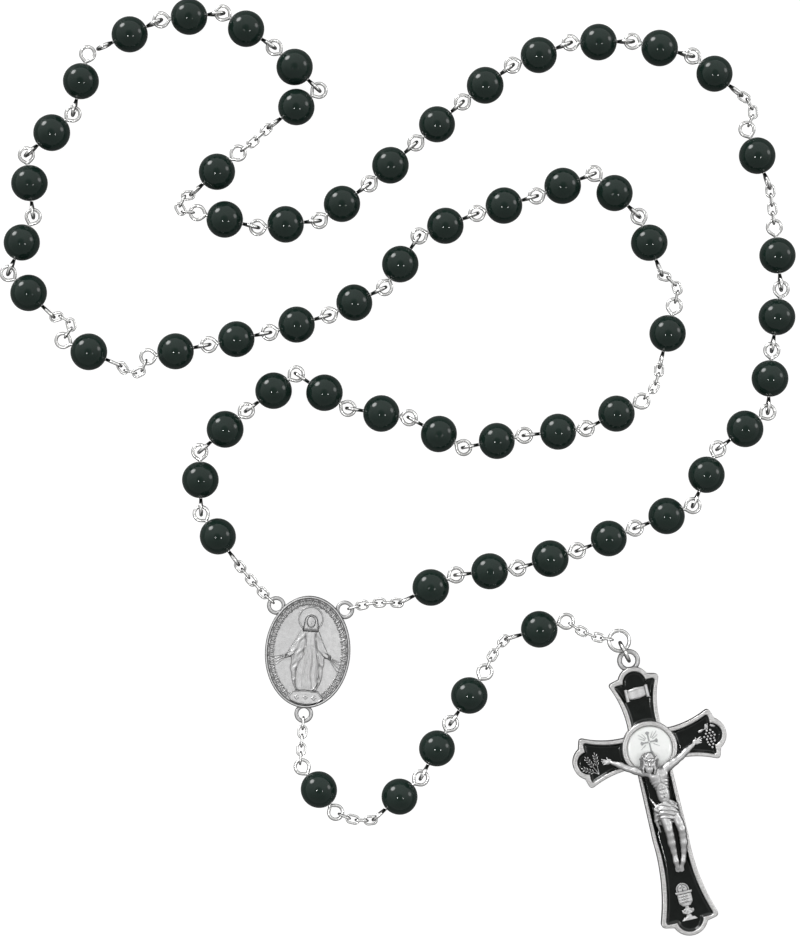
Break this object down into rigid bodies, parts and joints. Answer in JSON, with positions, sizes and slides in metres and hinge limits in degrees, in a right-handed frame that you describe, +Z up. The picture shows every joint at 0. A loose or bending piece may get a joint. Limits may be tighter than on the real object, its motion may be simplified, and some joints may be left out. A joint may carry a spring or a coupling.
{
  "type": "rosary",
  "caption": "Rosary with round dark glass beads on bent wire pins, wire link chains, an oval centre medal and an enamelled crucifix with a white disc.",
  "frame": {"origin": "middle of the centre medal's flat back, on the table", "axes": "+Z up from the table, +Y along the medal towards its two upper eyelets, +X to the right of the medal seen from above"},
  "size_m": [0.1722, 0.1957, 0.008],
  "materials": {
    "glass_bead": "very dark green, nearly black, polished",
    "pin_wire": "bright silver-coloured wire",
    "chain_wire": "bright silver-coloured wire",
    "medal_silver": "cast relief, bright on the high parts and darkened in the recesses",
    "pewter": "antiqued cast metal, dark in the recesses",
    "black_enamel": "glossy poured enamel",
    "white_enamel": "glossy poured enamel"
  },
  "bodies": {
    "centre_medal": {"centre_medal": "medal_silver"},
    "medal_chain_left": {"medal_chain_left": "chain_wire"},
    "decade_1_beads_1_to_5": {"decade_1_beads_1_to_5": "glass_bead", "decade_1_pins_1_to_5": "pin_wire"},
    "decade_1_beads_6_to_10": {"decade_1_beads_6_to_10": "glass_bead", "decade_1_pins_6_to_10": "pin_wire"},
    "our_father_chain_1_before": {"our_father_chain_1_before": "chain_wire"},
    "our_father_pin_1": {"our_father_pin_1": "pin_wire"},
    "our_father_bead_1": {"our_father_bead_1": "glass_bead"},
    "our_father_chain_1_after": {"our_father_chain_1_after": "chain_wire"},
    "decade_2_beads_1_to_5": {"decade_2_beads_1_to_5": "glass_bead", "decade_2_pins_1_to_5": "pin_wire"},
    "decade_2_beads_6_to_10": {"decade_2_beads_6_to_10": "glass_bead", "decade_2_pins_6_to_10": "pin_wire"},
    "our_father_chain_2_before": {"our_father_chain_2_before": "chain_wire"},
    "our_father_pin_2": {"our_father_pin_2": "pin_wire"},
    "our_father_bead_2": {"our_father_bead_2": "glass_bead"},
    "our_father_chain_2_after": {"our_father_chain_2_after": "chain_wire"},
    "decade_3_beads_1_to_5": {"decade_3_beads_1_to_5": "glass_bead", "decade_3_pins_1_to_5": "pin_wire"},
    "medal_chain_right": {"medal_chain_right": "chain_wire"},
    "decade_5_beads_6_to_10": {"decade_5_beads_6_to_10": "glass_bead", "decade_5_pins_6_to_10": "pin_wire"},
    "decade_5_beads_1_to_5": {"decade_5_beads_1_to_5": "glass_bead", "decade_5_pins_1_to_5": "pin_wire"},
    "our_father_chain_4_after": {"our_father_chain_4_after": "chain_wire"},
    "our_father_pin_4": {"our_father_pin_4": "pin_wire"},
    "our_father_bead_4": {"our_father_bead_4": "glass_bead"},
    "our_father_chain_4_before": {"our_father_chain_4_before": "chain_wire"},
    "decade_4_beads_6_to_10": {"decade_4_beads_6_to_10": "glass_bead", "decade_4_pins_6_to_10": "pin_wire"},
    "decade_4_beads_1_to_5": {"decade_4_beads_1_to_5": "glass_bead", "decade_4_pins_1_to_5": "pin_wire"},
    "our_father_chain_3_after": {"our_father_chain_3_after": "chain_wire"},
    "our_father_pin_3": {"our_father_pin_3": "pin_wire"},
    "our_father_bead_3": {"our_father_bead_3": "glass_bead"},
    "our_father_chain_3_before": {"our_father_chain_3_before": "chain_wire"},
    "decade_3_beads_6_to_10": {"decade_3_beads_6_to_10": "glass_bead", "decade_3_pins_6_to_10": "pin_wire"},
    "pendant_chain_1": {"pendant_chain_1": "chain_wire"},
    "pendant_pin_1": {"pendant_pin_1": "pin_wire"},
    "pendant_bead_1": {"pendant_bead_1": "glass_bead"},
    "pendant_chain_2": {"pendant_chain_2": "chain_wire"},
    "pendant_pin_2": {"pendant_pin_2": "pin_wire"},
    "pendant_bead_2": {"pendant_bead_2": "glass_bead"},
    "pendant_pin_3": {"pendant_pin_3": "pin_wire"},
    "pendant_bead_3": {"pendant_bead_3": "glass_bead"},
    "pendant_pin_4": {"pendant_pin_4": "pin_wire"},
    "pendant_bead_4": {"pendant_bead_4": "glass_bead"},
    "pendant_chain_3": {"pendant_chain_3": "chain_wire"},
    "pendant_pin_5": {"pendant_pin_5": "pin_wire"},
    "pendant_bead_5": {"pendant_bead_5": "glass_bead"},
    "crucifix_chain": {"crucifix_chain": "chain_wire"},
    "jump_ring_upper": {"jump_ring_upper": "pin_wire"},
    "jump_ring_lower": {"jump_ring_lower": "pin_wire"},
    "crucifix": {"crucifix_cross": "pewter", "crucifix_black_enamel": "black_enamel", "crucifix_white_disc": "white_enamel", "crucifix_corpus": "pewter", "crucifix_title_scroll": "pewter"}
  },
  "joints": [
    {"name": "crucifix_swing", "type": "hinge", "parent": "jump_ring_lower", "child": "crucifix", "pos_m": [0.06941, 0.0029, 0.0015], "axis": [0, 0, -1], "range_deg": [-45, 45]},
    {"name": "jump_ring_lower_swing", "type": "hinge", "parent": "jump_ring_upper", "child": "jump_ring_lower", "pos_m": [0.06825, 0.00492, 0.00265], "axis": [-0.866, -0.5, 0], "range_deg": [-60, 60]},
    {"name": "jump_ring_upper_swing", "type": "hinge", "parent": "crucifix_chain", "child": "jump_ring_upper", "pos_m": [0.06576, 0.00694, 0.00265], "axis": [0, 0, 1], "range_deg": [-45, 45]},
    {"name": "crucifix_chain_swing", "type": "hinge", "parent": "pendant_pin_5", "child": "crucifix_chain", "pos_m": [0.05671, 0.00959, 0.004], "axis": [-0.5, -0.866, 0], "range_deg": [-75, 75]},
    {"name": "pendant_pin_1_swing", "type": "hinge", "parent": "pendant_chain_1", "child": "pendant_pin_1", "pos_m": [0, -0.02413, 0.004], "axis": [0, 0, -1], "range_deg": [-5, 75]},
    {"name": "pendant_chain_1_swing", "type": "hinge", "parent": "centre_medal", "child": "pendant_chain_1", "pos_m": [0, -0.01505, 0.0011], "axis": [-1, 0, 0], "range_deg": [-75, 75]},
    {"name": "medal_chain_left_swing", "type": "hinge", "parent": "centre_medal", "child": "medal_chain_left", "pos_m": [-0.00868, 0.01063, 0.0011], "axis": [0.6428, 0.766, 0], "range_deg": [-75, 75]},
    {"name": "medal_chain_right_swing", "type": "hinge", "parent": "centre_medal", "child": "medal_chain_right", "pos_m": [0.00895, 0.01015, 0.0011], "axis": [0.342, -0.9397, 0], "range_deg": [-75, 75]},
    {"name": "decade_1_beads_1_to_5_swing", "type": "hinge", "parent": "medal_chain_left", "child": "decade_1_beads_1_to_5", "pos_m": [-0.0165, 0.01855, 0.004], "axis": [-0.766, -0.6428, 0], "range_deg": [-60, 60]},
    {"name": "decade_1_beads_6_to_10_swing", "type": "hinge", "parent": "decade_1_beads_1_to_5", "child": "decade_1_beads_6_to_10", "pos_m": [0.00685, 0.05308, 0.004], "axis": [-0.0872, -0.9962, 0], "range_deg": [-75, 75]},
    {"name": "our_father_chain_1_before_swing", "type": "hinge", "parent": "decade_1_beads_6_to_10", "child": "our_father_chain_1_before", "pos_m": [0.06956, 0.06002, 0.004], "axis": [-0.766, 0.6428, 0], "range_deg": [-75, 75]},
    {"name": "our_father_pin_1_swing", "type": "hinge", "parent": "our_father_chain_1_before", "child": "our_father_pin_1", "pos_m": [0.07203, 0.06708, 0.004], "axis": [0.9848, -0.1736, 0], "range_deg": [-60, 60]},
    {"name": "our_father_chain_1_after_swing", "type": "hinge", "parent": "our_father_pin_1", "child": "our_father_chain_1_after", "pos_m": [0.07454, 0.08131, 0.004], "axis": [-0.9848, 0.1736, 0], "range_deg": [-75, 75]},
    {"name": "decade_2_beads_1_to_5_swing", "type": "hinge", "parent": "our_father_chain_1_after", "child": "decade_2_beads_1_to_5", "pos_m": [0.0709, 0.08692, 0.004], "axis": [0.9063, 0.4226, 0], "range_deg": [-60, 60]},
    {"name": "decade_2_beads_6_to_10_swing", "type": "hinge", "parent": "decade_2_beads_1_to_5", "child": "decade_2_beads_6_to_10", "pos_m": [0.01753, 0.09006, 0.004], "axis": [0.866, -0.5, 0], "range_deg": [-75, 75]},
    {"name": "our_father_chain_2_before_swing", "type": "hinge", "parent": "decade_2_beads_6_to_10", "child": "our_father_chain_2_before", "pos_m": [-0.03902, 0.06013, 0.004], "axis": [-0.9397, 0.342, 0], "range_deg": [-75, 75]},
    {"name": "our_father_pin_2_swing", "type": "hinge", "parent": "our_father_chain_2_before", "child": "our_father_pin_2", "pos_m": [-0.04486, 0.05945, 0.004], "axis": [-0.342, -0.9397, 0], "range_deg": [-60, 60]},
    {"name": "our_father_chain_2_after_swing", "type": "hinge", "parent": "our_father_pin_2", "child": "our_father_chain_2_after", "pos_m": [-0.05628, 0.06518, 0.004], "axis": [0.866, -0.5, 0], "range_deg": [-75, 75]},
    {"name": "decade_3_beads_1_to_5_swing", "type": "hinge", "parent": "our_father_chain_2_after", "child": "decade_3_beads_1_to_5", "pos_m": [-0.05984, 0.06925, 0.004], "axis": [-0.6428, -0.766, 0], "range_deg": [-60, 60]},
    {"name": "decade_5_beads_6_to_10_swing", "type": "hinge", "parent": "medal_chain_right", "child": "decade_5_beads_6_to_10", "pos_m": [0.01978, 0.01233, 0.004], "axis": [-0.5, 0.866, 0], "range_deg": [-60, 60]},
    {"name": "decade_5_beads_1_to_5_swing", "type": "hinge", "parent": "decade_5_beads_6_to_10", "child": "decade_5_beads_1_to_5", "pos_m": [0.08158, 0.03845, 0.004], "axis": [0.9397, -0.342, 0], "range_deg": [-75, 75]},
    {"name": "our_father_chain_4_after_swing", "type": "hinge", "parent": "decade_5_beads_1_to_5", "child": "our_father_chain_4_after", "pos_m": [0.0945, 0.09967, 0.004], "axis": [-0.9848, -0.1736, 0], "range_deg": [-75, 75]},
    {"name": "our_father_pin_4_swing", "type": "hinge", "parent": "our_father_chain_4_after", "child": "our_father_pin_4", "pos_m": [0.09296, 0.10719, 0.004], "axis": [0.9063, 0.4226, 0], "range_deg": [-60, 60]},
    {"name": "our_father_chain_4_before_swing", "type": "hinge", "parent": "our_father_pin_4", "child": "our_father_chain_4_before", "pos_m": [0.088, 0.12033, 0.004], "axis": [-0.9397, 0.342, 0], "range_deg": [-75, 75]},
    {"name": "decade_4_beads_6_to_10_swing", "type": "hinge", "parent": "our_father_chain_4_before", "child": "decade_4_beads_6_to_10", "pos_m": [0.08532, 0.12654, 0.004], "axis": [0.5736, 0.8192, 0], "range_deg": [-60, 60]},
    {"name": "decade_4_beads_1_to_5_swing", "type": "hinge", "parent": "decade_4_beads_6_to_10", "child": "decade_4_beads_1_to_5", "pos_m": [0.0247, 0.11979, 0.004], "axis": [0.7071, -0.7071, 0], "range_deg": [-75, 75]},
    {"name": "our_father_chain_3_after_swing", "type": "hinge", "parent": "decade_4_beads_1_to_5", "child": "our_father_chain_3_after", "pos_m": [-0.03135, 0.09329, 0.004], "axis": [0, 1, 0], "range_deg": [-75, 75]},
    {"name": "our_father_pin_3_swing", "type": "hinge", "parent": "our_father_chain_3_after", "child": "our_father_pin_3", "pos_m": [-0.03102, 0.09756, 0.004], "axis": [-0.7071, 0.7071, 0], "range_deg": [-60, 60]},
    {"name": "our_father_chain_3_before_swing", "type": "hinge", "parent": "our_father_pin_3", "child": "our_father_chain_3_before", "pos_m": [-0.02072, 0.10768, 0.004], "axis": [0.6428, -0.766, 0], "range_deg": [-75, 75]},
    {"name": "decade_3_beads_6_to_10_swing", "type": "hinge", "parent": "our_father_chain_3_before", "child": "decade_3_beads_6_to_10", "pos_m": [-0.01522, 0.11305, 0.004], "axis": [-0.6428, 0.766, 0], "range_deg": [-60, 60]},
    {"name": "pendant_chain_2_swing", "type": "hinge", "parent": "pendant_pin_1", "child": "pendant_chain_2", "pos_m": [0.00973, -0.03456, 0.004], "axis": [-0.342, -0.9397, 0], "range_deg": [-75, 75]},
    {"name": "pendant_pin_2_swing", "type": "hinge", "parent": "pendant_chain_2", "child": "pendant_pin_2", "pos_m": [0.01705, -0.03461, 0.004], "axis": [-0.7071, 0.7071, 0], "range_deg": [-60, 60]},
    {"name": "pendant_pin_3_swing", "type": "hinge", "parent": "pendant_pin_2", "child": "pendant_pin_3", "pos_m": [0.02684, -0.0241, 0.004], "axis": [0.9063, -0.4226, 0], "range_deg": [-75, 75]},
    {"name": "pendant_pin_4_swing", "type": "hinge", "parent": "pendant_pin_3", "child": "pendant_pin_4", "pos_m": [0.03262, -0.01201, 0.004], "axis": [-0.866, 0.5, 0], "range_deg": [-75, 75]},
    {"name": "pendant_chain_3_swing", "type": "hinge", "parent": "pendant_pin_4", "child": "pendant_chain_3", "pos_m": [0.03908, -0.0003, 0.004], "axis": [0.9397, -0.342, 0], "range_deg": [-75, 75]},
    {"name": "pendant_pin_5_swing", "type": "hinge", "parent": "pendant_chain_3", "child": "pendant_pin_5", "pos_m": [0.04324, 0.00591, 0.004], "axis": [-0.342, 0.9397, 0], "range_deg": [-60, 60]},
    {"name": "our_father_bead_1_spin", "type": "hinge", "parent": "our_father_pin_1", "child": "our_father_bead_1", "pos_m": [0.07322, 0.07383, 0.004], "axis": [0.1736, 0.9848, 0], "continuous": true},
    {"name": "our_father_bead_2_spin", "type": "hinge", "parent": "our_father_pin_2", "child": "our_father_bead_2", "pos_m": [-0.05129, 0.06179, 0.004], "axis": [-0.9397, 0.342, 0], "continuous": true},
    {"name": "our_father_bead_4_spin", "type": "hinge", "parent": "our_father_pin_4", "child": "our_father_bead_4", "pos_m": [0.09006, 0.1134, 0.004], "axis": [-0.4226, 0.9063, 0], "continuous": true},
    {"name": "our_father_bead_3_spin", "type": "hinge", "parent": "our_father_pin_3", "child": "our_father_bead_3", "pos_m": [-0.02618, 0.1024, 0.004], "axis": [0.7071, 0.7071, 0], "continuous": true},
    {"name": "pendant_bead_1_spin", "type": "hinge", "parent": "pendant_pin_1", "child": "pendant_bead_1", "pos_m": [0.0044, -0.02938, 0.004], "axis": [0.6428, -0.766, 0], "continuous": true},
    {"name": "pendant_bead_2_spin", "type": "hinge", "parent": "pendant_pin_2", "child": "pendant_bead_2", "pos_m": [0.02189, -0.02977, 0.004], "axis": [0.7071, 0.7071, 0], "continuous": true},
    {"name": "pendant_bead_3_spin", "type": "hinge", "parent": "pendant_pin_3", "child": "pendant_bead_3", "pos_m": [0.02929, -0.01884, 0.004], "axis": [0.4226, 0.9063, 0], "continuous": true},
    {"name": "pendant_bead_4_spin", "type": "hinge", "parent": "pendant_pin_4", "child": "pendant_bead_4", "pos_m": [0.03552, -0.00699, 0.004], "axis": [0.5, 0.866, 0], "continuous": true},
    {"name": "pendant_bead_5_spin", "type": "hinge", "parent": "pendant_pin_5", "child": "pendant_bead_5", "pos_m": [0.04968, 0.00825, 0.004], "axis": [0.9397, 0.342, 0], "continuous": true}
  ]
}
